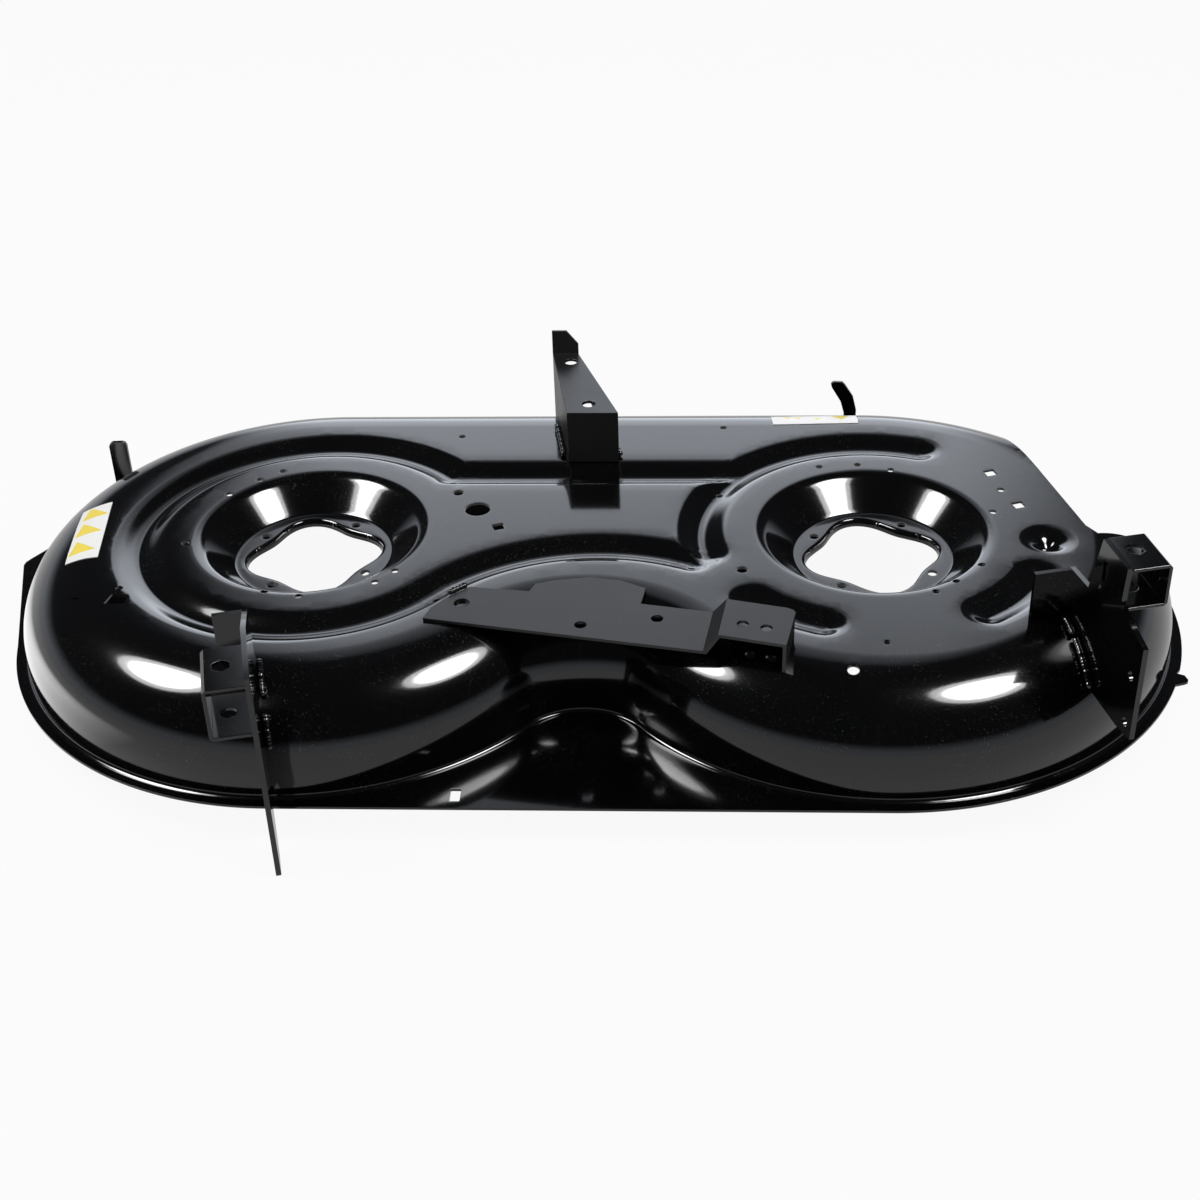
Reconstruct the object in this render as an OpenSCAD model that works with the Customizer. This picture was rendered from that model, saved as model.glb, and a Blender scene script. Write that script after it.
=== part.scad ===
// Side-discharge mower deck shell with its welded brackets.
// X runs from the left spindle to the right one, Y to the front, Z up.
// The origin is the centre of the left spindle seat, on its top face.

/* [Chambers] */
// Distance between the two spindle centres
spindle_spacing = 534; // [520:1:548]
// Outer radius of the round wall about each spindle
wall_radius = 281; // [277:0.5:284]
// Radius of the rounded shoulder between the top and the wall
shoulder_radius = 76; // [72:0.5:79]
// Height of the flat top above the spindle seats
top_height = 28.4; // [26:0.2:31]
// Drop of the lower rim below the spindle seats
rim_drop = 70.6; // [64:0.2:78]
// Thickness of the pressed sheet
sheet = 2.5; // [2:0.1:3]
// How far the rear waist between the chambers lies behind the spindle line
waist_centre = 222.7; // [219:0.1:226]

/* [Rim] */
// Radius of the outer edge of the rim about each spindle
rim_radius = 293; // [291:0.5:296]
// How far the front left ear reaches out from the spindle
ear_reach = 325; // [318:1:330]
// Length of the slot in the rear rim
rim_slot_length = 16; // [12:0.5:20]
// Width of the slots in the rim
rim_slot_width = 9; // [6:0.5:10]

/* [Spindle bowls] */
// Radius where the bowl lip meets the top
bowl_lip_radius = 113; // [111:0.5:115]
// Radius of the flat seat at the bottom of the bowl
seat_radius = 74; // [72:0.5:76]
// Bend radius of the bowl lip
lip_bend = 18; // [14:0.5:20]
// Bend radius at the foot of the bowl
foot_bend = 4; // [3:0.5:8]
// Mean radius of the wavy opening
opening_radius = 58; // [55:0.5:58]
// How far the four waves go in and out
opening_wave = 6.5; // [4:0.5:7]
// Depth of the collar turned down round the opening
collar_depth = 9; // [6:0.5:12]
// Diameter of the circle through the four spindle bolt holes
bolt_circle = 124.5; // [123:0.5:127]
// Diameter of the spindle bolt holes
bolt_hole = 9; // [7:0.5:10]

/* [Pressed grooves] */
// Depth of the grooves in the top
groove_depth = 9; // [5:0.5:10]
// Full width of the grooves at the top
groove_width = 44; // [40:0.5:45]
// Width of the flat floor of the grooves
groove_floor = 5; // [3:0.5:8]
// Radius of the ring grooves about the spindles
groove_ring = 162.5; // [161:0.5:165]
// Distance of the straight groove in front of the spindle line
groove_front = 107.5; // [104:0.5:110]
// Radius of the sweeping groove behind the spindle line
groove_sweep = 194; // [190:0.5:198]
// Diameter of the round dimple
dimple_width = 42; // [36:0.5:46]

/* [Small holes] */
// Diameter of the small screw holes
screw_hole = 7; // [5:0.5:8]
// Diameter of the larger fixing holes
fixing_hole = 10.5; // [8:0.5:12]
// Diameter of the largest hole in the top
pivot_hole = 25; // [20:0.5:28]
// Side of the square holes
square_hole = 11; // [9:0.5:12]

/* [Front bracket] */
// Width of the front bracket at its rear end
front_width = 51; // [46:0.5:56]
// Width of the front bracket at its front end
front_tip_width = 27; // [24:0.5:32]
// Height of the front bracket above the top
front_height = 55.6; // [45:0.5:62]
// Thickness of the front bracket
front_sheet = 3; // [2.5:0.1:4]
// Diameter of the two holes in the front bracket
front_hole = 13; // [10:0.5:15]

/* [Bridge plate] */
// Thickness of the bridge plate
bridge_sheet = 3; // [2:0.1:3.5]
// Step from the bridge plate up to its raised pad
pad_rise = 18.6; // [15:0.2:22]
// Diameter of the large hole in the bridge plate
bridge_hole = 14; // [11:0.5:15]
// Diameter of the two smaller holes in the bridge plate
bridge_small_hole = 11; // [8:0.5:12]

/* [Side brackets] */
// Angle at which the side brackets turn away from the fore-aft line
splay = 13.7; // [12.5:0.1:15]
// Thickness of the side bracket plates
plate_sheet = 4.5; // [3.5:0.1:5]
// Thickness of the channels on the side brackets
channel_sheet = 3; // [2.5:0.1:3.5]
// Outside width of the channels
channel_width = 34; // [30:0.5:38]
// Width of the round lower and hexagonal upper hole in the channel flanges
channel_hole = 14; // [11:0.5:18]
// Diameter of the holes in the side bracket plates
plate_hole = 9; // [7:0.5:10]

/* [Chute hooks] */
// Width of the left hook strap
left_hook_width = 18.5; // [16:0.5:21]
// Width of the right hook strap
right_hook_width = 13; // [11:0.5:16]
// Thickness of the hook straps
hook_sheet = 4; // [3:0.1:5]

/* [Welds and labels] */
// Radius of the weld beads
bead_radius = 3.6; // [3:0.1:4.5]
// Thickness of the labels
label_sheet = 0.5; // [0.4:0.05:0.8]

/* [Output] */
// Part to draw, or all

/* [Hidden] */
ROUND = 96;
SEAT_GAP = 0.1;
BEAD_GAP = 0.3;
END_SLIM = 0.7;
JOIN_SLIM = 0.3;
WAIST_LAP = 0.7;
SWEEP_END = 63.3;
CORNER = 3;
EXTRA = 1;
mid_x = spindle_spacing / 2;
flat_radius = wall_radius - shoulder_radius;
shoulder_z = top_height - shoulder_radius;
rim_z = -rim_drop;
waist_reach = norm([mid_x, waist_centre]) + WAIST_LAP;
waist_angle = atan2(waist_centre, mid_x);
groove_half = groove_width / 2;
floor_half = groove_floor / 2;

// Half section of one round chamber, pulled in by the given amount
module chamber_section(inset, low) {
    translate([0, low])
        square([flat_radius, top_height - inset - low]);
    translate([0, low])
        square([wall_radius - inset, shoulder_z - low]);
    translate([flat_radius, shoulder_z])
        intersection() {
            circle(r = shoulder_radius - inset, $fn = ROUND);
            square(shoulder_radius + EXTRA);
        }
}

// One chamber from its front round to a little past the line to the waist
module chamber_side(inset, low) {
    rotate([0, 0, 90])
        rotate_extrude(angle = 270 - waist_angle + 25, $fn = ROUND)
            chamber_section(inset, low);
}

// The hollow curve of the waist between the chambers, as a solid to take away
module waist_section(inset, low) {
    difference() {
        union() {
            translate([0, low - EXTRA])
                square([waist_reach - wall_radius + inset, shoulder_z - low + EXTRA]);
            translate([0, shoulder_z])
                square([waist_reach - flat_radius, shoulder_radius - inset]);
        }
        translate([waist_reach - flat_radius, shoulder_z])
            intersection() {
                circle(r = shoulder_radius - inset, $fn = ROUND);
                translate([-shoulder_radius - EXTRA, 0])
                    square([shoulder_radius + 2 * EXTRA, shoulder_radius + EXTRA]);
            }
    }
}

// Solid body with the outside shape of the deck, pulled in by the given amount
module body(inset, low) {
    chamber_side(inset, low);
    translate([spindle_spacing, 0, 0])
        mirror([1, 0, 0])
            chamber_side(inset, low);
    rotate([90, 0, 90])
        linear_extrude(spindle_spacing)
            chamber_section(inset, low);
    for (x = [0, spindle_spacing])
        translate([x, 0, low])
            cylinder(h = top_height - inset - low, r = flat_radius - 5, $fn = ROUND);
    difference() {
        translate([0, 0, low])
            linear_extrude(top_height - inset - low)
                polygon([[0, 0], [mid_x, -waist_centre], [spindle_spacing, 0]]);
        translate([mid_x, -waist_centre, 0])
            rotate_extrude($fn = ROUND)
                waist_section(inset, low);
    }
}

// Room above a spindle bowl, its surface lowered by the given amount
module bowl_room(lower) {
    lip_c = [bowl_lip_radius, top_height - lip_bend];
    foot_c = [seat_radius, foot_bend];
    run = lip_c - foot_c;
    lip_r = lip_bend - lower;
    foot_r = foot_bend + lower;
    turn = atan2(run[1], run[0]) - acos((lip_r + foot_r) / norm(run));
    steps = 6;
    rotate_extrude($fn = ROUND)
        polygon(concat(
            [[0, -lower]],
            [for (i = [0 : steps]) foot_c + foot_r * [
                cos(-90 + (90 + turn) * i / steps), sin(-90 + (90 + turn) * i / steps)]],
            [for (i = [0 : steps]) lip_c - lip_r * [
                cos(turn - (90 + turn) * i / steps), sin(turn - (90 + turn) * i / steps)]],
            [[bowl_lip_radius, top_height + EXTRA], [0, top_height + EXTRA]]));
}

// Wavy outline of the spindle opening, widened by the given amount
module opening_outline(wider) {
    polygon([for (a = [0 : 6 : 354])
        (opening_radius + wider + opening_wave * cos(4 * (a - 14))) * [cos(a), sin(a)]]);
}

// Cross section of a groove, slimmer by the given amount, zero at the top
module groove_section(slim = 0) {
    deep = groove_depth - slim / 2;
    polygon([[slim - floor_half, -deep], [floor_half - slim, -deep],
        [groove_half - slim, 0], [groove_half - slim, EXTRA],
        [slim - groove_half, EXTRA], [slim - groove_half, 0]]);
}

// Round groove of the given radius from one angle over a sweep
module groove_arc(radius, from, sweep, slim = 0) {
    rotate([0, 0, from])
        rotate_extrude(angle = sweep, $fn = ROUND)
            translate([radius, 0])
                groove_section(slim);
}

// Round pocket with the section of a groove
module groove_pocket(half) {
    deep = groove_depth - END_SLIM / 2;
    rotate_extrude($fn = ROUND)
        polygon([[0, -deep], [floor_half - END_SLIM, -deep],
            [half, 0], [half, EXTRA], [0, EXTRA]]);
}

// Rounded end of a ring groove at an angle
module ring_end(at) {
    rotate([0, 0, at])
        translate([groove_ring, 0, 0])
            groove_pocket(groove_half - END_SLIM);
}

// Ring groove with both of its ends rounded
module groove_ring_part(from, sweep) {
    groove_arc(groove_ring, from, sweep);
    ring_end(from);
    ring_end(from + sweep);
}

sweep_turn = acos((mid_x + 10) / (groove_ring + groove_sweep));
sweep_centre = [mid_x + 10, -(groove_ring + groove_sweep) * sin(sweep_turn)];
corner_turn = asin(groove_front / groove_ring);

// Start and sweep of the three ring grooves about the right spindle, and the dimple beside them
RIGHT_ARCS = [[70, 124], [-135, 25], [-56, 28]];
DIMPLE_AT = [160, -18];

// All grooves and the dimple, as a solid to take away
module grooves() {
    straight_start = groove_ring * cos(corner_turn) - 4;
    groove_arc(groove_ring, corner_turn, 360 - sweep_turn - corner_turn);
    ring_end(corner_turn);
    translate([sweep_centre[0], sweep_centre[1], 0]) {
        groove_arc(groove_sweep, SWEEP_END, 180.5 - SWEEP_END - sweep_turn, JOIN_SLIM);
        rotate([0, 0, SWEEP_END])
            translate([groove_sweep, 0, 0])
                groove_pocket(groove_half - END_SLIM);
    }
    translate([straight_start, groove_front, 0])
        rotate([90, 0, 90])
            linear_extrude(spindle_spacing - 2 * straight_start)
                groove_section(JOIN_SLIM);
    translate([spindle_spacing, 0, 0]) {
        for (arc = RIGHT_ARCS)
            groove_ring_part(arc[0], arc[1]);
        translate([DIMPLE_AT[0], DIMPLE_AT[1], 0])
            groove_pocket(dimple_width / 2);
    }
}

// Outline of the rim, with the front left ear and the right tab
module rim_outline() {
    circle(r = rim_radius, $fn = ROUND);
    translate([spindle_spacing, 0])
        circle(r = rim_radius, $fn = ROUND);
    translate([0, -rim_radius])
        square([spindle_spacing, 2 * rim_radius]);
    polygon([[-rim_radius + 9, -70], [-ear_reach, 86], [4 - ear_reach, 98],
        [37 - ear_reach, 150], [-248, 156], [-200, 20]]);
    translate([spindle_spacing + rim_radius, -109])
        rotate([0, 0, -22])
            translate([-30, -6])
                square([26, 12]);
}

// Screw holes in the top, from the left spindle
LEFT_SCREWS = [[-116, -24], [-93, 66], [-68, 94], [-48, 111], [-25, -106], [8, -114],
    [74, -91], [90, -72], [126, 181], [126, 91], [133, -115], [-160, -101]];
// Screw and square holes in the top, from the right spindle
RIGHT_SCREWS = [[-171, -59], [-144, 75], [-45, 117], [-7, 121], [25, 111], [115, 31], [93, -61],
    [67, -88], [47, -105], [128, 72], [-3, -184], [-139, 198]];
RIGHT_SQUARES = [[122, 105], [141, 44]];
SQUARE_TURN = 20;

module hole(at, width) {
    translate([at[0], at[1], rim_z])
        cylinder(h = top_height - rim_z + EXTRA, d = width, $fn = ROUND);
}

module square_cut(at, size_x, size_y, turn) {
    translate([at[0], at[1], rim_z - EXTRA])
        rotate([0, 0, turn])
            translate([-size_x / 2, -size_y / 2, 0])
                cube([size_x, size_y, top_height - rim_z + 2 * EXTRA]);
}

// Everything cut through the sheet of the shell
module shell_holes() {
    for (p = LEFT_SCREWS)
        hole(p, screw_hole);
    hole([134, 68], fixing_hole);
    hole([156, 37], pivot_hole);
    square_cut([179, 5], square_hole, square_hole, SQUARE_TURN);
    translate([spindle_spacing, 0, 0]) {
        for (p = RIGHT_SCREWS)
            hole(p, screw_hole);
        for (p = RIGHT_SQUARES)
            square_cut(p, square_hole, square_hole, SQUARE_TURN);
        hole([-125, -70], fixing_hole);
        hole([-34, -221], fixing_hole);
    }
    square_cut([-159, -119], 23, 13, 32);
    square_cut([161, -276], rim_slot_width, rim_slot_length, 0);
    square_cut([-276 - 6, -78], rim_slot_width / 2, rim_slot_length, -16);
    for (x = [0, spindle_spacing])
        for (a = [59 : 90 : 329])
            translate([x, 0, 0])
                rotate([0, 0, a])
                    translate([bolt_circle / 2, 0, -sheet - EXTRA])
                        cylinder(h = sheet + 2 * EXTRA, d = bolt_hole, $fn = ROUND);
    translate([spindle_spacing, 0, rim_z - EXTRA])
        linear_extrude(top_height - rim_z + 2 * EXTRA)
            polygon([[118, 306], [157, 160], [198, 7], [207, -7], [288, 41], [366, 87], [366, 306]]);
}

// The pressed deck shell with its rim
module deck_shell() {
    color([0.05, 0.05, 0.055])
    difference() {
        union() {
            body(0, rim_z);
            translate([0, 0, rim_z])
                linear_extrude(sheet)
                    rim_outline();
        }
        translate([0, 0, top_height])
            grooves();
        for (x = [0, spindle_spacing])
            translate([x, 0, 0])
                bowl_room(0);
        difference() {
            body(sheet, rim_z - EXTRA);
            translate([0, 0, top_height - sheet])
                grooves();
            for (x = [0, spindle_spacing])
                translate([x, 0, 0]) {
                    bowl_room(sheet);
                    translate([0, 0, -collar_depth])
                        linear_extrude(collar_depth)
                            opening_outline(sheet);
                }
        }
        for (x = [0, spindle_spacing])
            translate([x, 0, -collar_depth - EXTRA])
                linear_extrude(collar_depth + 2 * EXTRA)
                    opening_outline(0);
        shell_holes();
    }
}

// Body that the welded pieces are fitted to, a little proud of the shell
module seat_body() {
    body(-SEAT_GAP, rim_z);
}

// Left corners of the front bracket at its rear and front end
FRONT_FOOT = [mid_x - 28, 128];
FRONT_TIP = [mid_x - 50, 258];

// Folded front bracket with its upturned end and its right wall cut away toward the tip
module front_bracket() {
    top_z = top_height + front_height;
    foot = FRONT_FOOT;
    tip = FRONT_TIP;
    outer = [foot, [foot[0] + front_width, foot[1]], [tip[0] + front_tip_width, tip[1]], tip];
    inner = [[foot[0] + front_sheet, foot[1] + front_sheet],
        [foot[0] + front_width - front_sheet, foot[1] + front_sheet],
        [tip[0] + front_tip_width - front_sheet, tip[1] + EXTRA],
        [tip[0] + front_sheet, tip[1] + EXTRA]];
    color([0.05, 0.05, 0.055]) {
        difference() {
            translate([0, 0, -20])
                linear_extrude(top_z + 20)
                    polygon(outer);
            translate([0, 0, -20 - EXTRA])
                linear_extrude(top_z + 20 + EXTRA - front_sheet)
                    polygon(inner);
            seat_body();
            translate([foot[0] - 2, 0, 0])
                rotate([90, 0, 90])
                    linear_extrude(front_width + 4)
                        polygon([[165, -30], [165, 34], [tip[1] + EXTRA, 66], [tip[1] + EXTRA, -30]]);
            for (p = [[mid_x - 7, 147], [mid_x - 30, 240]])
                translate([p[0], p[1], top_z - front_sheet - EXTRA])
                    cylinder(h = front_sheet + 2 * EXTRA, d = front_hole, $fn = ROUND);
        }
        translate([tip[0], tip[1], top_z - front_sheet])
            rotate([90, 0, 0])
                translate([0, 0, -front_sheet])
                    linear_extrude(front_sheet)
                        polygon([[0, 0], [front_tip_width, 0], [front_tip_width, 14], [15, 29], [0, 29]]);
    }
}

// What is trimmed off the bridge plate along its rear, pad and leg edges
module bridge_trim() {
    translate([0, 0, -30])
        linear_extrude(90) {
            polygon([[-160, -149.2], [106, -202], [121, -204.6], [176, -219], [210, -228],
                [210, -260], [-160, -260]]);
            polygon([[118, -130], [118, -144.1], [131, -151], [179, -163.4], [184, -166.5],
                [188, -175.5], [210, -180], [210, -130]]);
            polygon([[189, -155], [174, -229], [215, -229], [215, -155]]);
        }
}

// Flat plate that bridges the waist, with its raised pad and turned down leg
module bridge_plate() {
    pad_z = top_height + pad_rise;
    color([0.05, 0.05, 0.055])
    translate([mid_x, 0, 0])
    difference() {
        union() {
            translate([0, 0, top_height])
                linear_extrude(bridge_sheet)
                    polygon([[-143, -159.4], [-136, -137], [-121, -118], [-104, -103], [-77, -107],
                        [-50, -110], [-45, -98], [-28, -92], [4, -87], [31, -92], [55, -105],
                        [51, -130], [86, -137], [115, -143], [104.8, -210]]);
            translate([115, -143, top_height])
                rotate([0, 0, -8.7])
                    rotate([90, 0, 0])
                        linear_extrude(76)
                            polygon([[-EXTRA, 0], [-EXTRA, bridge_sheet], [0, bridge_sheet],
                                [13, pad_rise + bridge_sheet], [84, pad_rise + bridge_sheet],
                                [84, pad_rise], [13 + bridge_sheet / 2, pad_rise], [bridge_sheet, 0]]);
            translate([188, -160, -20])
                rotate([0, 0, -101.5])
                    translate([14, -bridge_sheet, 0])
                        cube([54, bridge_sheet + 4, pad_z + bridge_sheet / 2 + 20]);
        }
        translate([-mid_x, 0, 0])
            seat_body();
        bridge_trim();
        for (p = [[-109, -129, bridge_hole], [-1, -163, bridge_small_hole],
            [66, -153, bridge_small_hole], [140, -188, fixing_hole], [160, -194, fixing_hole]])
            translate([p[0], p[1], top_height - EXTRA])
                cylinder(h = pad_rise + bridge_sheet + 2 * EXTRA, d = p[2], $fn = ROUND);
    }
}

// Stands a drawing upright along the splayed line of a side bracket
module upright(at) {
    translate([at[0], at[1], 0])
        rotate([0, 0, splay - 90])
            rotate([90, 0, 0])
                children();
}

// Round hole through a side bracket plate at its own x and height
module plate_bore(at, width) {
    translate([at[0], at[1], -plate_sheet - EXTRA])
        cylinder(h = 2 * plate_sheet + 2 * EXTRA, d = width, $fn = ROUND);
}

LEFT_AT = [0, -265];
RIGHT_AT = [spindle_spacing + 171, -208];

// Left side bracket, a tall plate with a tab turned at its front edge
module left_plate() {
    color([0.05, 0.05, 0.055])
    difference() {
        union() {
            upright(LEFT_AT)
                linear_extrude(plate_sheet)
                    polygon([[-70, 0], [-70, 71], [10, 106], [80, 104], [80, -101], [54, -101],
                        [34, -62], [0, -62]]);
            upright(LEFT_AT)
                translate([-70, 0, 0])
                    cube([plate_sheet, 71, 30.5]);
        }
        seat_body();
        upright(LEFT_AT)
            translate([50, 78, -EXTRA])
                cylinder(h = plate_sheet + 2 * EXTRA, d = plate_hole, $fn = ROUND);
    }
}

// Channel on a side bracket, open at its rear end
module channel(length, top, high) {
    low = top - high;
    wall = channel_width;
    rotate([90, 0, 90])
        linear_extrude(length)
            polygon([[top, 0], [top, wall - CORNER], [top - CORNER, wall], [low + CORNER, wall],
                [low, wall - CORNER], [low, 0], [low + channel_sheet, 0],
                [low + channel_sheet, wall - channel_sheet],
                [top - channel_sheet, wall - channel_sheet], [top - channel_sheet, 0]]);
}

// Round hole through the lower flange and hexagonal hole through the upper one
module channel_bore(top) {
    translate([0, top - 60, 0])
        rotate([-90, 0, 0])
            cylinder(h = 60 - channel_sheet - EXTRA, d = channel_hole, $fn = ROUND);
    translate([0, top - channel_sheet - EXTRA, 0])
        rotate([-90, 0, 0])
            cylinder(h = channel_sheet + 2 * EXTRA, d = channel_hole / cos(30), $fn = 6);
}

module left_channel() {
    color([0.05, 0.05, 0.055])
    difference() {
        upright(LEFT_AT)
            translate([22, 0, plate_sheet])
                channel(58, 98, 50);
        upright(LEFT_AT)
            translate([48, 0, plate_sheet + 18])
                channel_bore(98);
    }
}

// Right side bracket with its tab, notch and slot
module right_plate() {
    color([0.05, 0.05, 0.055])
    difference() {
        union() {
            upright(RIGHT_AT)
                translate([0, 0, -plate_sheet])
                    linear_extrude(plate_sheet)
                        polygon([[-70, 0], [-70, 77], [-33, 80], [-18, 137], [29, 137], [26, 100],
                            [73, 88], [73, -2], [48, -6], [0, -7], [-30, -7]]);
            upright(RIGHT_AT)
                translate([-70, 0, -plate_sheet])
                    cube([plate_sheet, 77, 33 + plate_sheet]);
        }
        seat_body();
        upright(RIGHT_AT) {
            plate_bore([-13, 91], plate_hole);
            plate_bore([59, 53], plate_hole);
            plate_bore([61, 8], plate_hole);
            translate([-12, 101, -plate_sheet - EXTRA])
                cube([6, 20, plate_sheet + 2 * EXTRA]);
        }
    }
}

module right_channel() {
    color([0.05, 0.05, 0.055])
    difference() {
        upright(RIGHT_AT)
            translate([-19, 0, -plate_sheet])
                mirror([0, 0, 1])
                    channel(50, 137, 40);
        upright(RIGHT_AT)
            translate([2, 0, -plate_sheet - 14])
                channel_bore(137);
    }
}

LEFT_HOOK_TURN = 37;

// Left strap that stands on the rim beside the wall, with its round hole
module left_hook() {
    low = rim_z + sheet + SEAT_GAP;
    strap_y = wall_radius * sin(LEFT_HOOK_TURN);
    edge_x = 1.5 - wall_radius * cos(LEFT_HOOK_TURN);
    wide = left_hook_width;
    tall = top_height + 1.2;
    color([0.05, 0.05, 0.055])
    difference() {
        translate([edge_x, strap_y + hook_sheet, 0])
            rotate([90, 0, 0])
                linear_extrude(hook_sheet)
                    polygon([[-wide, low], [0, low], [0, tall - 4], [-1.5, tall - 1], [-4, tall],
                        [4 - wide, tall - 0.5], [1.5 - wide, tall - 2], [-wide, tall - 5]]);
        seat_body();
        translate([edge_x - wide / 2, strap_y - EXTRA, -24])
            rotate([-90, 0, 0])
                cylinder(h = hook_sheet + 2 * EXTRA, d = 9, $fn = ROUND);
    }
}

// Right strap outside the front wall, with its tip bent to the left
module right_hook() {
    low = rim_z + sheet + SEAT_GAP;
    wide = right_hook_width;
    color([0.05, 0.05, 0.055])
    translate([spindle_spacing - 9, 0, 0])
    difference() {
        translate([0, wall_radius + SEAT_GAP + hook_sheet, 0])
            rotate([90, 0, 0])
                linear_extrude(hook_sheet)
                    polygon([[0, low], [wide, low], [wide, 4], [wide - 4, 20], [wide - 13, 34],
                        [wide - 16, 37], [-12, 37.5], [-15, 35], [-14, 31], [-4, 14], [0, 0]]);
        translate([wide / 2, wall_radius - EXTRA, -10])
            rotate([-90, 0, 0])
                cylinder(h = hook_sheet + 3 * EXTRA, d = 6, $fn = ROUND);
    }
}

// Skin of the given outline laid on the outside of the shell
module label_skin(corners) {
    difference() {
        intersection() {
            body(-SEAT_GAP - label_sheet, rim_z);
            translate([0, 0, -40])
                linear_extrude(90)
                    polygon(corners);
        }
        seat_body();
    }
}

module left_label() {
    color([0.93, 0.93, 0.91])
    label_skin([[-234, 42], [-206, 51], [-194, -49], [-224, -56]]);
}

module right_label() {
    color([0.93, 0.93, 0.91])
    label_skin([for (p = [[-89, 225], [-88, 204], [0, 207], [-1, 231]]) p + [spindle_spacing, 0]]);
}

// Weld bead through the given points
module bead(points) {
    color([0.06, 0.06, 0.065])
    for (i = [0 : len(points) - 2]) {
        run = points[i + 1] - points[i];
        translate(points[i] - run / norm(run) * bead_radius / 4)
            rotate([0, acos(run[2] / norm(run)), atan2(run[1], run[0])])
                cylinder(h = norm(run) + bead_radius / 2, r = bead_radius, $fn = ROUND);
    }
}

// Straight bead on the top, beside the line from one point to another
module edge_bead(from, to, start, length) {
    way = (to - from) / norm(to - from);
    off = (bead_radius + BEAD_GAP) * [-way[1], way[0]];
    height = top_height + bead_radius + BEAD_GAP;
    first = from + off + start * way;
    last = first + length * way;
    bead([[first[0], first[1], height], [last[0], last[1], height]]);
}

// Bead centre in the corner between a side bracket and the shell
function corner_point(at, along, side, centre_x) =
    let (out = bead_radius + BEAD_GAP,
        x = at[0] + along * sin(splay) + side * out * cos(splay),
        y = at[1] - along * cos(splay) + side * out * sin(splay),
        past = max(0, norm([x - centre_x, y]) - flat_radius))
    [x, y, shoulder_z + sqrt(pow(shoulder_radius + out, 2) - pow(past, 2))];

function corner_line(at, from, to, steps, side, centre_x) =
    [for (i = [0 : steps]) corner_point(at, from + (to - from) * i / steps, side, centre_x)];

module front_weld_left() {
    edge_bead(FRONT_FOOT, FRONT_TIP, 12, 58);
}

module front_weld_right() {
    edge_bead(FRONT_TIP + [front_tip_width, 0], FRONT_FOOT + [front_width, 0], 106, 22);
}

module left_weld_upper() {
    bead(corner_line(LEFT_AT, -46, -16, 3, 1, 0));
}

module left_weld_lower() {
    bead(corner_line(LEFT_AT, 0, 14, 4, 1, 0));
}

module right_weld_upper() {
    bead(corner_line(RIGHT_AT, -60, -42, 2, -1, spindle_spacing));
}

module right_weld_lower() {
    bead(corner_line(RIGHT_AT, -34, 0, 4, -1, spindle_spacing));
}

module bridge_weld() {
    edge_bead([mid_x - 121, -118], [mid_x - 104, -103], 4, 15);
}

deck_shell();
front_bracket();
bridge_plate();
left_plate();
left_channel();
right_plate();
right_channel();
left_hook();
right_hook();
left_label();
right_label();
front_weld_left();
front_weld_right();
left_weld_upper();
left_weld_lower();
right_weld_upper();
right_weld_lower();
bridge_weld();
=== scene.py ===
import math

import bpy
import numpy as np
from mathutils import Matrix, Vector
from mathutils.geometry import delaunay_2d_cdt


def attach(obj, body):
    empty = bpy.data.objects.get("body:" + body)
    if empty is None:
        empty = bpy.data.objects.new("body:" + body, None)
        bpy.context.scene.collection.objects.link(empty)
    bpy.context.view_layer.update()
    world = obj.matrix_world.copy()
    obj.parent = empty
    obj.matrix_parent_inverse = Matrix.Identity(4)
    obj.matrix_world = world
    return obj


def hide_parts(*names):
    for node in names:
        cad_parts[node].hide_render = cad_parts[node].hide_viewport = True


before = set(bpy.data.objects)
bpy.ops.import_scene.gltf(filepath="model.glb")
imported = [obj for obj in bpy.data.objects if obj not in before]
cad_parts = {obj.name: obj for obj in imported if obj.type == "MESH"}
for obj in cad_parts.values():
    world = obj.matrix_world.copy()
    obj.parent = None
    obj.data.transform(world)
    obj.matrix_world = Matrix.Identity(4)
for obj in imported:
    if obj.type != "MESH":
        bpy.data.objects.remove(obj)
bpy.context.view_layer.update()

MM = 0.001

# Sizes of the pressed shell, in millimetres, the same as in the part's source
SPACING = 534.0
WALL_R = 281.0
SHOULDER_R = 76.0
TOP = 28.4
RIM_Z = -70.6
SHEET = 2.5
WAIST_Y = 222.7
RIM_R = 293.0
BOWL_LIP_R = 113.0
SEAT_R = 74.0
LIP_BEND = 18.0
FOOT_BEND = 4.0
OPENING_R = 58.0
OPENING_WAVE = 6.5
COLLAR = 9.0
COLLAR_BEND = 4.0
BOLT_R = 62.25
GROOVE_DEPTH = 9.0
GROOVE_HALF = 22.0
GROOVE_FLOOR = 2.5
GROOVE_R = 162.5
GROOVE_Y = 107.5
SWEEP_R = 194.0
PRESS_BEND = 5.0
RIM_FOOT_BEND = 4.0
FLAT_R = WALL_R - SHOULDER_R
SHOULDER_Z = TOP - SHOULDER_R
MID_X = SPACING / 2
WAIST_REACH = math.hypot(MID_X, WAIST_Y)
FLANGE_Z = RIM_Z + SHEET
SWEEP_TURN = math.acos((MID_X + 10) / (GROOVE_R + SWEEP_R))
SWEEP_AT = np.array([MID_X + 10, -(GROOVE_R + SWEEP_R) * math.sin(SWEEP_TURN)])
SWEEP_END = math.radians(63.3)
CORNER_TURN = math.asin(GROOVE_Y / GROOVE_R)
SPLAY = math.radians(13.7)
LEFT_AT = (0.0, -265.0)
RIGHT_AT = (705.0, -208.0)
BEAD_R = 3.6
BEAD_GAP = 0.3

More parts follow.
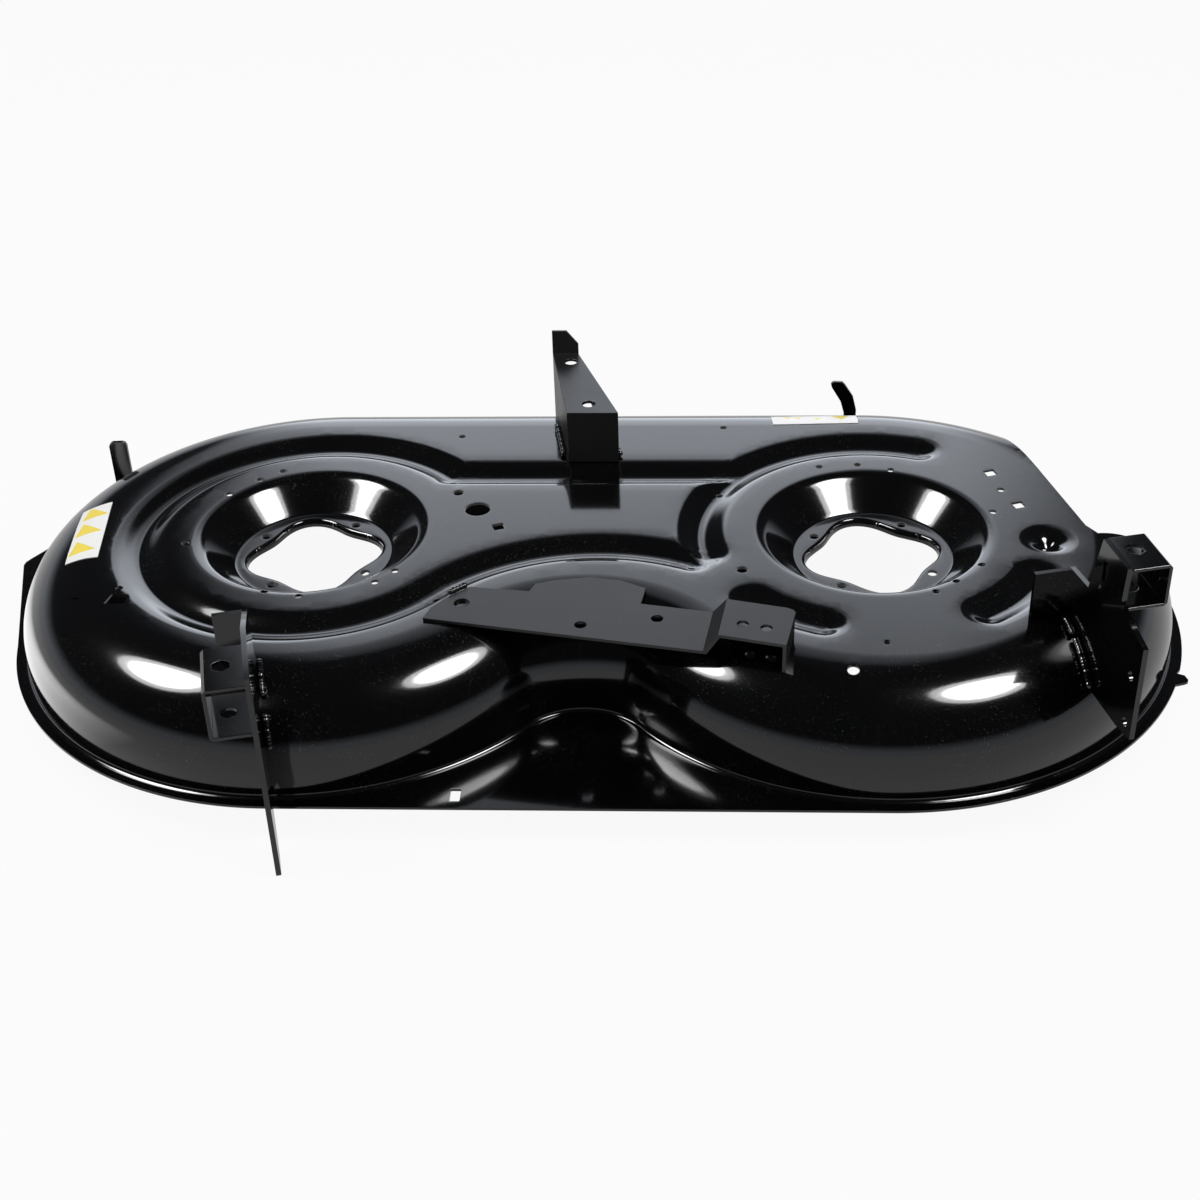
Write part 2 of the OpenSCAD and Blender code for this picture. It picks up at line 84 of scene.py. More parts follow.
# How far out a point of the flat pattern lies, against its radius and height on the pressed shell
STEPS = 24
FOOT_Z = FLANGE_Z + RIM_FOOT_BEND
pattern = [(0.0, 0.0, TOP)]
pattern += [(FLAT_R + 63.0 * i / STEPS,
             FLAT_R + SHOULDER_R * math.sin(math.pi / 2 * i / STEPS),
             SHOULDER_Z + SHOULDER_R * math.cos(math.pi / 2 * i / STEPS)) for i in range(STEPS + 1)]
pattern += [(278.0 + 6.0 * i / 6,
             WALL_R + RIM_FOOT_BEND * (1 - math.cos(math.pi / 2 * i / 6)),
             FOOT_Z - RIM_FOOT_BEND * math.sin(math.pi / 2 * i / 6)) for i in range(7)]
pattern += [(286.0, 286.0, FLANGE_Z), (1000.0, 1000.0, FLANGE_Z)]
PATTERN = np.array(pattern)


def sector(x, y):
    """Distance from the middle of the shell's section and its outward way, for points of the flat pattern."""
    far = np.stack([np.zeros_like(x), np.ones_like(x)], 1)
    out = y.copy()
    way = far.copy()
    slope = WAIST_Y / MID_X
    left = (x < 0) | ((y < 0) & (-y > slope * x) & (x < MID_X))
    right = (x > SPACING) | ((y < 0) & (-y > slope * (SPACING - x)) & (x >= MID_X))
    for side, centre in ((left, 0.0), (right, SPACING)):
        run = np.stack([x[side] - centre, y[side]], 1)
        length = np.maximum(np.linalg.norm(run, axis=1), 1e-6)
        out[side] = length
        way[side] = run / length[:, None]
    waist = ~left & ~right & (y < 0)
    run = np.stack([MID_X - x[waist], -WAIST_Y - y[waist]], 1)
    length = np.maximum(np.linalg.norm(run, axis=1), 1e-6)
    out[waist] = WAIST_REACH - length
    way[waist] = run / length[:, None]
    return out, way


def to_pattern(x, y):
    """Takes points of the real plan to the flat pattern."""
    out, way = sector(x, y)
    flat = np.interp(out, PATTERN[:, 1] + np.arange(len(PATTERN)) * 1e-7, PATTERN[:, 0])
    return x + way[:, 0] * (flat - out), y + way[:, 1] * (flat - out)


def pressed(depth_at):
    """Depth of a pressing with its creases rounded, from the distance to its centre line."""
    total = 0
    bends = (-1.0, -0.5, 0.0, 0.5, 1.0)
    for bend in bends:
        d = np.abs(np.abs(depth_at) + bend * PRESS_BEND)
        total = total + np.clip((GROOVE_HALF - d) / (GROOVE_HALF - GROOVE_FLOOR), 0, 1)
    return GROOVE_DEPTH * total / len(bends)


def arc_distance(x, y, centre, radius, start, sweep):
    """Distance to an arc that runs anticlockwise from start."""
    dx, dy = x - centre[0], y - centre[1]
    turn = np.mod(np.arctan2(dy, dx) - start, 2 * math.pi)
    along = np.abs(np.hypot(dx, dy) - radius)
    ends = [np.hypot(dx - radius * math.cos(a), dy - radius * math.sin(a)) for a in (start, start + sweep)]
    return np.where(turn <= sweep, along, np.minimum(ends[0], ends[1]))


R_AT = (SPACING, 0.0)
ARCS = [
    ((0.0, 0.0), GROOVE_R, CORNER_TURN, 2 * math.pi - SWEEP_TURN - CORNER_TURN),
    (SWEEP_AT, SWEEP_R, SWEEP_END, math.pi - SWEEP_TURN - SWEEP_END),
    (R_AT, GROOVE_R, math.radians(70), math.radians(124)),
    (R_AT, GROOVE_R, math.radians(-135), math.radians(25)),
    (R_AT, GROOVE_R, math.radians(-56), math.radians(28)),
]
STRAIGHT_FROM = GROOVE_R * math.cos(CORNER_TURN)
DIMPLE = (694.0, -18.0)
DIMPLE_PIT = 4.0
DIMPLE_PIT_R = 11.0


def bowl_height(r):
    """Height of the bowl's surface at a distance from its spindle."""
    lip = np.array([BOWL_LIP_R, TOP - LIP_BEND])
    foot = np.array([SEAT_R, FOOT_BEND])
    run = lip - foot
    turn = math.atan2(run[1], run[0]) - math.acos((LIP_BEND + FOOT_BEND) / np.hypot(*run))
    t = np.linspace(0, 1, 9)
    low = foot + FOOT_BEND * np.stack([np.cos(-math.pi / 2 + (math.pi / 2 + turn) * t),
                                       np.sin(-math.pi / 2 + (math.pi / 2 + turn) * t)], 1)
    high = lip - LIP_BEND * np.stack([np.cos(turn - (math.pi / 2 + turn) * t),
                                      np.sin(turn - (math.pi / 2 + turn) * t)], 1)
    line = np.concatenate([[[0, 0]], low, high, [[400, TOP]]])
    return np.interp(r, line[:, 0], line[:, 1])


def opening_edge(a):
    return OPENING_R + OPENING_WAVE * np.cos(4 * (a - math.radians(14)))


def form(x, y):
    """Takes points of the flat pattern to the pressed shell's upper surface."""
    out, way = sector(x, y)
    real = np.interp(out, PATTERN[:, 0], PATTERN[:, 1])
    z = np.interp(out, PATTERN[:, 0], PATTERN[:, 2])
    px = x + way[:, 0] * (real - out)
    py = y + way[:, 1] * (real - out)
    flat = out < FLAT_R
    depth = np.zeros_like(x)
    for arc in ARCS:
        depth = np.maximum(depth, pressed(arc_distance(x, y, *arc)))
    dx = np.maximum(np.maximum(STRAIGHT_FROM - x, x - (SPACING - STRAIGHT_FROM)), 0)
    depth = np.maximum(depth, pressed(np.hypot(dx, y - GROOVE_Y)))
    from_dimple = np.hypot(x - DIMPLE[0], y - DIMPLE[1])
    depth = np.maximum(depth, pressed(from_dimple))
    depth = depth + DIMPLE_PIT * np.clip(1 - (from_dimple / DIMPLE_PIT_R) ** 2, 0, 1) ** 2
    z = np.where(flat, z - depth, z)
    for centre in (0.0, SPACING):
        dx = x - centre
        r = np.hypot(dx, y)
        near = r < BOWL_LIP_R + 1
        z = np.where(near, bowl_height(r), z)
        edge = opening_edge(np.arctan2(y, dx))
        over = r - edge
        bent = near & (over < COLLAR_BEND)
        inside = np.clip(COLLAR_BEND - over, 0, COLLAR_BEND)
        drop = COLLAR_BEND - np.sqrt(np.maximum(COLLAR_BEND ** 2 - inside ** 2, 0))
        drop = np.where(over < 0, COLLAR_BEND + (COLLAR - SHEET / 2 - COLLAR_BEND) * (-over / 3.0), drop)
        z = np.where(bent, z - drop, z)
        keep = np.where(near & (over < 0), edge / np.maximum(r, 1e-6), 1.0)
        px = np.where(near & (over < 0), centre + dx * keep, px)
        py = np.where(near & (over < 0), y * keep, py)
    return np.stack([px, py, z], 1) * MM


class Sheet:
    """Collects the points and the cut edges of the flat pattern."""

    def __init__(self):
        self.points = []
        self.taken = {}
        self.edges = []
        self.cuts = []

    def add(self, x, y, room):
        key = (int(math.floor(x / 4)), int(math.floor(y / 4)))
        for i in (-1, 0, 1):
            for j in (-1, 0, 1):
                for k in self.taken.get((key[0] + i, key[1] + j), ()):
                    if math.hypot(self.points[k][0] - x, self.points[k][1] - y) < room:
                        return None
        self.points.append((x, y))
        self.taken.setdefault(key, []).append(len(self.points) - 1)
        return len(self.points) - 1

    def line(self, xy, closed=False):
        first = len(self.points)
        for x, y in xy:
            self.points.append((x, y))
            key = (int(math.floor(x / 4)), int(math.floor(y / 4)))
            self.taken.setdefault(key, []).append(len(self.points) - 1)
        last = len(self.points) - 1
        self.edges += [(i, i + 1) for i in range(first, last)]
        if closed:
            self.edges.append((last, first))

    def cut(self, xy):
        """A hole with this closed outline."""
        xy = np.array(xy)
        self.line(xy, closed=True)
        self.cuts.append(xy)

    def fill(self, x, y, room):
        for a, b in zip(x, y):
            self.add(float(a), float(b), room)


def inside(px, py, xy):
    """Which points lie inside a closed outline."""
    hit = np.zeros(len(px), bool)
    for (ax, ay), (bx, by) in zip(xy, np.roll(xy, -1, axis=0)):
        if ay == by:
            continue
        crosses = (ay > py) != (by > py)
        hit ^= crosses & (px < (bx - ax) * (py - ay) / (by - ay) + ax)
    return hit


def ring(cx, cy, r, count, squash=1.0, turn=0.0):
    a = np.linspace(0, 2 * math.pi, count, endpoint=False)
    x, y = r * np.cos(a), r * squash * np.sin(a)
    return np.stack([cx + x * math.cos(turn) - y * math.sin(turn),
                     cy + x * math.sin(turn) + y * math.cos(turn)], 1)


def dense(corners, step):
    """Points along straight runs between corners, closed."""
    made = []
    for a, b in zip(np.array(corners, float), np.roll(np.array(corners, float), -1, axis=0)):
        n = max(1, int(round(np.linalg.norm(b - a) / step)))
        made += [a + (b - a) * i / n for i in range(n)]
    return np.array(made)


def slot_outline(cx, cy, length, width, turn, round_end=True):
    r = width / 2 if round_end else 1.2
    hx, hy = length / 2 - r, width / 2 - r
    made = []
    for sx, sy, start in ((1, 1, 0), (-1, 1, 90), (-1, -1, 180), (1, -1, 270)):
        for a in np.radians(np.linspace(start, start + 90, 5)):
            made.append((sx * hx + r * math.cos(a), sy * hy + r * math.sin(a)))
    made = np.array(made)
    keep = [i for i in range(len(made)) if np.linalg.norm(made[i] - made[i - 1]) > 0.05]
    made = made[keep]
    t = math.radians(turn)
    return np.stack([cx + made[:, 0] * math.cos(t) - made[:, 1] * math.sin(t),
                     cy + made[:, 0] * math.sin(t) + made[:, 1] * math.cos(t)], 1)


SMALL_HOLES = [(-116, -24), (-93, 66), (-68, 94), (-48, 111), (-25, -106), (8, -114),
               (74, -91), (90, -72), (126, 181), (126, 91), (133, -115), (363, -59), (390, 75),
               (-160, -101), (489, 117), (527, 121), (559, 111), (649, 31), (627, -61),
               (601, -88), (581, -105), (662, 72), (531, -184), (395, 198)]
WIDE_HOLES = [(134, 68, 10.5), (409, -70, 10.5), (500, -221, 10.5), (156, 37, 25)]
SQUARE_HOLES = [(179, 5), (656, 105), (675, 44)]

# Outer edge of the sheet, anticlockwise from the right, with the discharge cut, the ear and the tab


def rim_edge():
    made = []
    tab_at = math.degrees(math.atan2(-109, RIM_R))
    for a in np.arange(-90, 8.3, 1.2):
        if abs(a - tab_at) > 2.0:
            made.append((SPACING + RIM_R * math.cos(math.radians(a)), RIM_R * math.sin(math.radians(a))))
        elif not any(p[0] > 814 for p in made):
            made += [(805.5, -113), (813, -110.5), (816, -109), (817, -106), (815, -99), (808.5, -96)]
    end = np.array([(822, 41), (774, -2), (741, -7), (732, 7), (691, 160), (662, 264)], float)
    start = np.array(made[-1])
    walk = [start] + list(end)
    line = []
    for a, b in zip(walk[:-1], walk[1:]):
        n = max(1, int(np.linalg.norm(b - a) / 3.0))
        line += [a + (b - a) * i / n for i in range(1, n + 1)]
    line = np.array(line)
    px, py = to_pattern(line[:, 0], line[:, 1])
    made += list(zip(px, py))
    first = math.degrees(math.atan2(264, 662 - SPACING))
    for a in np.arange(first + 0.6, 90, 1.2):
        made.append((SPACING + RIM_R * math.cos(math.radians(a)), RIM_R * math.sin(math.radians(a))))
    made += [(x, RIM_R) for x in np.arange(SPACING, 0, -6)]
    for a in np.arange(90, 146.5, 1.2):
        made.append((RIM_R * math.cos(math.radians(a)), RIM_R * math.sin(math.radians(a))))
    ear = [(-248, 156), (-288, 150), (-321, 98), (-324.3, 92), (-325, 86), (-287, -59)]
    for a, b in zip(ear[:-1], ear[1:]):
        n = max(1, int(math.dist(a, b) / 5))
        made += [(a[0] + (b[0] - a[0]) * i / n, a[1] + (b[1] - a[1]) * i / n) for i in range(n)]
    for a in np.arange(191.8, 270, 1.2):
        made.append((RIM_R * math.cos(math.radians(a)), RIM_R * math.sin(math.radians(a))))
    made += [(x, -RIM_R) for x in np.arange(0, SPACING, 6)]
    return np.array(made)


def shell_pattern():
    sheet = Sheet()
    outline = rim_edge()
    sheet.line(outline, closed=True)
    for cx in (0.0, SPACING):
        a = np.linspace(0, 2 * math.pi, 120, endpoint=False)
        for over in (-3.0, -1.5, 0.0, 1.2, 2.6, 4.0):
            r = opening_edge(a) + over
            xy = np.stack([cx + r * np.cos(a), r * np.sin(a)], 1)
            if over == -3.0:
                sheet.cut(xy)
            else:
                sheet.fill(xy[:, 0], xy[:, 1], 0.4)
        for k in range(4):
            t = math.radians(59 + 90 * k)
            sheet.cut(ring(cx + BOLT_R * math.cos(t), BOLT_R * math.sin(t), 4.5, 24))
        for r in (68, 71.5, 74, 74.9, 75.8, 76.7, 79, 82, 86, 90, 94, 98, 100.7, 102.2,
                  103.8, 105.5, 107.3, 109.2, 111.1, 113, 117):
            xy = ring(cx, 0, r, 120)
            sheet.fill(xy[:, 0], xy[:, 1], 0.8)
    for x, y in SMALL_HOLES:
        sheet.cut(ring(x, y, 3.5, 20))
    for x, y, d in WIDE_HOLES:
        sheet.cut(np.stack(to_pattern(*ring(x, y, d / 2, 32).T), 1))
    for x, y in SQUARE_HOLES:
        sheet.cut(slot_outline(x, y, 11, 11, 20, round_end=False))
    sheet.cut(slot_outline(-157, -118.5, 17, 15, -6, round_end=False))
    sheet.cut(slot_outline(161, -276, 9, 16, 0, round_end=False))
    for outline_of in list(sheet.cuts):
        centre = outline_of.mean(0)
        away = (outline_of - centre) / np.linalg.norm(outline_of - centre, axis=1)[:, None]
        if np.linalg.norm(outline_of[0] - centre) < 20:
            sheet.fill(*(outline_of + away * 2.0).T, 1.2)
    # Rows that follow the shoulder, the wall and the foot of the wall
    waist_turn = math.atan2(WAIST_Y, MID_X)
    drum = np.linspace(math.pi / 2, 2 * math.pi - waist_turn, 200)
    hollow = np.linspace(waist_turn, math.pi - waist_turn, 44)
    for d in list(FLAT_R + 63.0 * np.arange(-1, 19) / 18) + [271.3, 274.6, 278, 280, 282, 284, 286]:
        x, y = d * np.cos(drum), d * np.sin(drum)
        sheet.fill(x, y, 1.6)
        sheet.fill(SPACING - x, y, 1.6)
        rho = WAIST_REACH - d
        sheet.fill(MID_X + rho * np.cos(hollow), -WAIST_Y + rho * np.sin(hollow), 1.0)
        x = np.linspace(0, SPACING, 76)
        sheet.fill(x, np.full_like(x, d), 1.6)
    # Rows that follow the grooves
    rows = (0, -3.2, 3.2, -6.4, 6.4, -9.6, 9.6, -12.8, 12.8, -16, 16, -19.2, 19.2, -22.4, 22.4, -26, 26)
    for centre, radius, start, sweep in ARCS:
        for off in rows:
            r = radius + off
            a = np.linspace(start, start + sweep, int(sweep * r / 6) + 2)
            sheet.fill(centre[0] + r * np.cos(a), centre[1] + r * np.sin(a), 2.2)
        for end in (start, start + sweep):
            cx, cy = centre[0] + radius * math.cos(end), centre[1] + radius * math.sin(end)
            for r in (0.01, 3.2, 6.4, 9.6, 12.8, 16, 19.2, 22.4, 26):
                xy = ring(cx, cy, r, max(1, int(2 * math.pi * r / 5)))
                sheet.fill(xy[:, 0], xy[:, 1], 2.4)
    for off in rows:
        x = np.arange(STRAIGHT_FROM, SPACING - STRAIGHT_FROM, 6.5)
        sheet.fill(x, np.full_like(x, GROOVE_Y + off), 2.4)
    for r in (1.5, 2.8, 4.0, 5.2, 6.5, 8, 10, 12, 14, 16, 18, 20, 22.4, 25, 28):
        xy = ring(*DIMPLE, r, 16 if r < 5 else 32)
        sheet.fill(xy[:, 0], xy[:, 1], 0.5)
    # Even points over the flats
    step = 11.0
    rows = int(2 * 330 / (step * 0.866))
    for j in range(rows):
        y = -330 + j * step * 0.866
        x = np.arange(-330 + (j % 2) * step / 2, 870, step)
        sheet.fill(x, np.full_like(x, y), step * 0.55)
    return sheet, outline


def link(obj):
    bpy.context.scene.collection.objects.link(obj)
    return obj


def pick(obj):
    """Selects one object alone and makes it the active one."""
    bpy.ops.object.select_all(action="DESELECT")
    obj.select_set(True)
    bpy.context.view_layer.objects.active = obj


def apply_all(obj):
    pick(obj)
    for m in list(obj.modifiers):
        bpy.ops.object.modifier_apply(modifier=m.name)


def even_shading(piece):
    """Lets the large faces set the shading beside the small faces of an edge."""
    even = piece.modifiers.new("even", "WEIGHTED_NORMAL")
    even.mode = "FACE_AREA_WITH_ANGLE"
    even.keep_sharp = True
    even.weight = 80
    apply_all(piece)


def press_shell():
    """The pressed shell, formed from its flat pattern and given its thickness."""
    sheet, outline = shell_pattern()
    points = [Vector(p) for p in sheet.points]
    flat, edges, faces, _, _, _ = delaunay_2d_cdt(points, sheet.edges, [], 0, 1e-4)
    xy = np.array([tuple(v) for v in flat])
    tri = np.array([f for f in faces if len(f) == 3])
    mid = xy[tri].mean(1)
    keep = inside(mid[:, 0], mid[:, 1], outline)
    for cut in sheet.cuts:
        lo, hi = cut.min(0), cut.max(0)
        near = ((mid > lo) & (mid < hi)).all(1)
        hit = np.zeros(len(mid), bool)
        hit[near] = inside(mid[near, 0], mid[near, 1], cut)
        keep &= ~hit
    tri = tri[keep]
    a, b, c = xy[tri[:, 0]], xy[tri[:, 1]], xy[tri[:, 2]]
    area = (b[:, 0] - a[:, 0]) * (c[:, 1] - a[:, 1]) - (b[:, 1] - a[:, 1]) * (c[:, 0] - a[:, 0])
    tri[area < 0] = tri[area < 0][:, ::-1]
    used, back = np.unique(tri, return_inverse=True)
    tri = back.reshape(tri.shape)
    solid = form(xy[used, 0], xy[used, 1])
    mesh = bpy.data.meshes.new("pressed_shell")
    mesh.from_pydata(solid.tolist(), [], tri.tolist())
    mesh.validate()
    piece = link(bpy.data.objects.new("pressed_shell", mesh))
    thick = piece.modifiers.new("thickness", "SOLIDIFY")
    thick.thickness = SHEET * MM
    thick.offset = -1
    thick.use_even_offset = True
    apply_all(piece)
    edge = piece.modifiers.new("edges", "BEVEL")
    edge.width = 0.5 * MM
    edge.segments = 1
    edge.limit_method = "ANGLE"
    edge.angle_limit = math.radians(55)
    apply_all(piece)
    bpy.ops.object.shade_smooth_by_angle(angle=math.radians(50))
    even_shading(piece)
    return piece


def finished_copy(node, width, name):
    """A CAD piece with its edges broken as folding and cutting leave them."""
    piece = link(bpy.data.objects.new(name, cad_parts[node].data.copy()))
    pick(piece)
    bpy.ops.object.mode_set(mode="EDIT")
    bpy.ops.mesh.select_all(action="SELECT")
    bpy.ops.mesh.remove_doubles(threshold=1e-6)
    bpy.ops.mesh.dissolve_limited(angle_limit=math.radians(0.5))
    bpy.ops.object.mode_set(mode="OBJECT")
    edge = piece.modifiers.new("edges", "BEVEL")
    edge.width = width * MM
    edge.segments = 2
    edge.limit_method = "ANGLE"
    edge.angle_limit = math.radians(35)
    apply_all(piece)
    bpy.ops.object.shade_smooth_by_angle(angle=math.radians(40))
    even_shading(piece)
    return piece


def lay_bead(name, points, radius, drops):
    """A weld bead as a row of overlapping drops, melted together."""
    points = [Vector(p) for p in points]
    lengths = [(b - a).length for a, b in zip(points[:-1], points[1:])]
    total = sum(lengths)
    parts = []
    for i in range(drops):
        at = total * i / (drops - 1)
        for a, b, length in zip(points[:-1], points[1:], lengths):
            if at <= length + 1e-9:
                break
            at -= length
        place = a + (b - a) * min(1, at / length)
        size = radius * (0.86 + 0.12 * math.sin(i * 2.4) * math.cos(i * 0.7))
        bpy.ops.mesh.primitive_uv_sphere_add(segments=16, ring_count=10, radius=size * MM,
                                             location=place * MM)
        parts.append(bpy.context.object)
    bpy.ops.object.select_all(action="DESELECT")
    for part in parts:
        part.select_set(True)
    bpy.context.view_layer.objects.active = parts[0]
    bpy.ops.object.join()
    piece = bpy.context.object
    bpy.ops.object.transform_apply(location=True, rotation=True, scale=True)
    melt = piece.modifiers.new("melt", "REMESH")
    melt.mode = "VOXEL"
    melt.voxel_size = 0.55 * MM
    soften = piece.modifiers.new("soften", "SMOOTH")
    soften.iterations = 3
    apply_all(piece)
    bpy.ops.object.shade_smooth()
    piece.name = name
    piece.data.name = name
    return piece


def edge_bead(start, end, skip, length):
    """Ends of a straight bead beside a line on the top, as in the part's source."""
    a, b = np.array(start, float), np.array(end, float)
    way = (b - a) / np.linalg.norm(b - a)
    out = BEAD_R + BEAD_GAP
    first = a + out * np.array([-way[1], way[0]]) + skip * way
    last = first + length * way
    return [(*first, TOP + out), (*last, TOP + out)]


def corner_bead(at, start, end, steps, side, centre):
    """Points of a bead in the corner between a side bracket and the shell."""
    out = BEAD_R + BEAD_GAP
    made = []
    for i in range(steps + 1):
        along = start + (end - start) * i / steps
        x = at[0] + along * math.sin(SPLAY) + side * out * math.cos(SPLAY)
        y = at[1] - along * math.cos(SPLAY) + side * out * math.sin(SPLAY)
        past = max(0, math.hypot(x - centre, y) - FLAT_R)
        made.append((x, y, SHOULDER_Z + math.sqrt((SHOULDER_R + out) ** 2 - past ** 2)))
    return made


class Socket:
    """A shader value that can be reckoned with."""

    def __init__(self, paint, link_from):
        self.paint = paint
        self.link_from = link_from

    def maths(self, operation, *others):
        return self.paint.node("ShaderNodeMath", {"operation": operation}, [self, *others])

    def __add__(self, other):
        return self.maths("ADD", other)

    def __mul__(self, other):
        return self.maths("MULTIPLY", other)

    def __rsub__(self, other):
        return self.paint.node("ShaderNodeMath", {"operation": "SUBTRACT"}, [other, self])

    def __sub__(self, other):
        return self.maths("SUBTRACT", other)

    __radd__ = __add__
    __rmul__ = __mul__

    def above(self, low, high):
        """0 below low, 1 above high and even in between."""
        return self.paint.node("ShaderNodeMapRange", {}, {"Value": self, "From Min": low, "From Max": high})


class Finish:
    """A material under construction."""

    def __init__(self, name):
        self.material = bpy.data.materials.new(name)
        self.material.use_nodes = True
        self.tree = self.material.node_tree
        self.shader = self.tree.nodes["Principled BSDF"]

    def node(self, kind, settings, inputs, output=0):
        made = self.tree.nodes.new(kind)
        for key, value in settings.items():
            if key == "stops":
                ramp = made.color_ramp
                while len(ramp.elements) < len(value):
                    ramp.elements.new(0.5)
                for element, (place, colour) in zip(ramp.elements, value):
                    element.position = place
                    element.color = colour
            else:
                setattr(made, key, value)
        items = inputs.items() if isinstance(inputs, dict) else enumerate(inputs)
        for key, value in items:
            if isinstance(value, Socket):
                self.tree.links.new(value.link_from, made.inputs[key])
            else:
                made.inputs[key].default_value = value
        return Socket(self, made.outputs[output])

    def coordinates(self):
        return self.node("ShaderNodeTexCoord", {}, {}, "Object")

    def noise(self, scale, detail=2.0, rough=0.5):
        return self.node("ShaderNodeTexNoise", {}, {"Vector": self.coordinates(), "Scale": scale,
                                                    "Detail": detail, "Roughness": rough}, 0)

    def set(self, **values):
        for key, value in values.items():
            socket = self.shader.inputs[key.replace("_", " ")]
            if isinstance(value, Socket):
                self.tree.links.new(value.link_from, socket)
            else:
                socket.default_value = value

    def mix(self, mask, first, second):
        return self.node("ShaderNodeMix", {"data_type": "RGBA"}, {"Factor": mask, 6: first, 7: second}, 2)

    def bump(self, height, strength, distance):
        return self.node("ShaderNodeBump", {}, {"Height": height, "Strength": strength, "Distance": distance})


def black_paint(name):
    """Gloss black powder coat under a clear skin, with fine pale specks."""
    finish = Finish(name)
    speck = finish.noise(1700, 0).above(0.80, 0.86) * finish.noise(14, 2).above(0.42, 0.62)
    peel = finish.noise(160, 1)
    film = finish.noise(9, 3).above(0.3, 0.75)
    finish.set(
        Base_Color=finish.mix(speck, (0.001, 0.001, 0.0012, 1), (0.30, 0.28, 0.24, 1)),
        Roughness=film * 0.04 + 0.10,
        Specular_IOR_Level=0.30,
        Coat_Weight=1.0,
        Coat_Roughness=0.07,
        Coat_IOR=1.5,
        Normal=finish.bump(peel, 0.10, 0.0003))
    return finish.material


def satin_paint(name):
    """Thinner, duller coat of the same black on the folded brackets."""
    finish = Finish(name)
    speck = finish.noise(1700, 0).above(0.82, 0.88)
    film = finish.noise(14, 3).above(0.3, 0.75)
    finish.set(
        Base_Color=finish.mix(speck, (0.006, 0.0062, 0.007, 1), (0.22, 0.21, 0.19, 1)),
        Roughness=film * 0.08 + 0.30,
        Specular_IOR_Level=0.75,
        Normal=finish.bump(finish.noise(300, 1), 0.10, 0.0002))
    return finish.material


def label_vinyl(name, along, across, fields):
    """White label with plain colour fields, placed in its own plane."""
    finish = Finish(name)
    place = finish.coordinates()
    paint = 0.0
    for at_x, at_y, half_length, half_width in fields:
        shift = finish.node("ShaderNodeVectorMath", {"operation": "SUBTRACT"},
                            [place, (at_x * MM, at_y * MM, 0)])
        run, off = [finish.node("ShaderNodeVectorMath", {"operation": "DOT_PRODUCT"},
                                [shift, (way[0], way[1], 0)], 1) for way in (along, across)]
        in_height = off.maths("ABSOLUTE").maths("LESS_THAN", half_width * MM)
        taper = (half_width * MM - off) * (half_length / half_width / 2)
        in_width = (run.maths("ABSOLUTE") - taper).maths("LESS_THAN", 0.0)
        paint = in_height * in_width + paint
    finish.set(Base_Color=finish.mix(paint, (0.93, 0.93, 0.92, 1), (0.95, 0.76, 0.12, 1)), Roughness=0.3)
    return finish.material


PAINT = black_paint("gloss_black_powder_coat")
SATIN = satin_paint("satin_black_bracket_paint")
WELD = black_paint("black_paint_on_weld")
LEFT_WAY = (0.08, 0.997)
RIGHT_WAY = (0.999, 0.045)
VINYL = {
    "left_label": label_vinyl("left_label_vinyl", LEFT_WAY, (0.997, -0.08), [
        (-215.5, 30, 12.5, 11.6), (-214, -1, 12.5, 11.6), (-211.5, -34, 12.5, 11.6)]),
    "right_label": label_vinyl("right_label_vinyl", RIGHT_WAY, (0.045, -0.999), [
        (461, 220, 5, 3), (472, 219, 5, 3), (492, 217, 4, 3), (517, 221, 10, 7)]),
}


def dress(piece, material, node):
    piece.data.materials.clear()
    piece.data.materials.append(material)
    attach(piece, "root")
    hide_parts(node)


dress(press_shell(), PAINT, "deck_shell")
for node_name, width in (("front_bracket", 0.8), ("bridge_plate", 0.6), ("left_plate", 0.7),
                         ("left_channel", 0.6), ("right_plate", 0.7), ("right_channel", 0.6),
                         ("left_hook", 0.6), ("right_hook", 0.6)):
    coat = SATIN if node_name in ("front_bracket", "bridge_plate") else PAINT
    dress(finished_copy(node_name, width, node_name + "_finished"), coat, node_name)
BEADS = {
    "front_weld_left": edge_bead((239, 128), (217, 258), 12, 58),
    "front_weld_right": edge_bead((244, 258), (290, 128), 106, 22),
    "left_weld_upper": corner_bead(LEFT_AT, -46, -16, 3, 1, 0),
    "left_weld_lower": corner_bead(LEFT_AT, 0, 14, 4, 1, 0),
    "right_weld_upper": corner_bead(RIGHT_AT, -60, -42, 2, -1, SPACING),
    "right_weld_lower": corner_bead(RIGHT_AT, -34, 0, 4, -1, SPACING),
    "bridge_weld": edge_bead((146, -118), (163, -103), 4, 15),
}
for node_name, line in BEADS.items():
    run = sum(math.dist(a, b) for a, b in zip(line[:-1], line[1:]))
    dress(lay_bead(node_name + "_bead", line, BEAD_R, max(4, int(run / 2.6))), WELD, node_name)
for node_name in ("left_label", "right_label"):
    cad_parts[node_name].data.materials.clear()
    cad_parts[node_name].data.materials.append(VINYL[node_name])


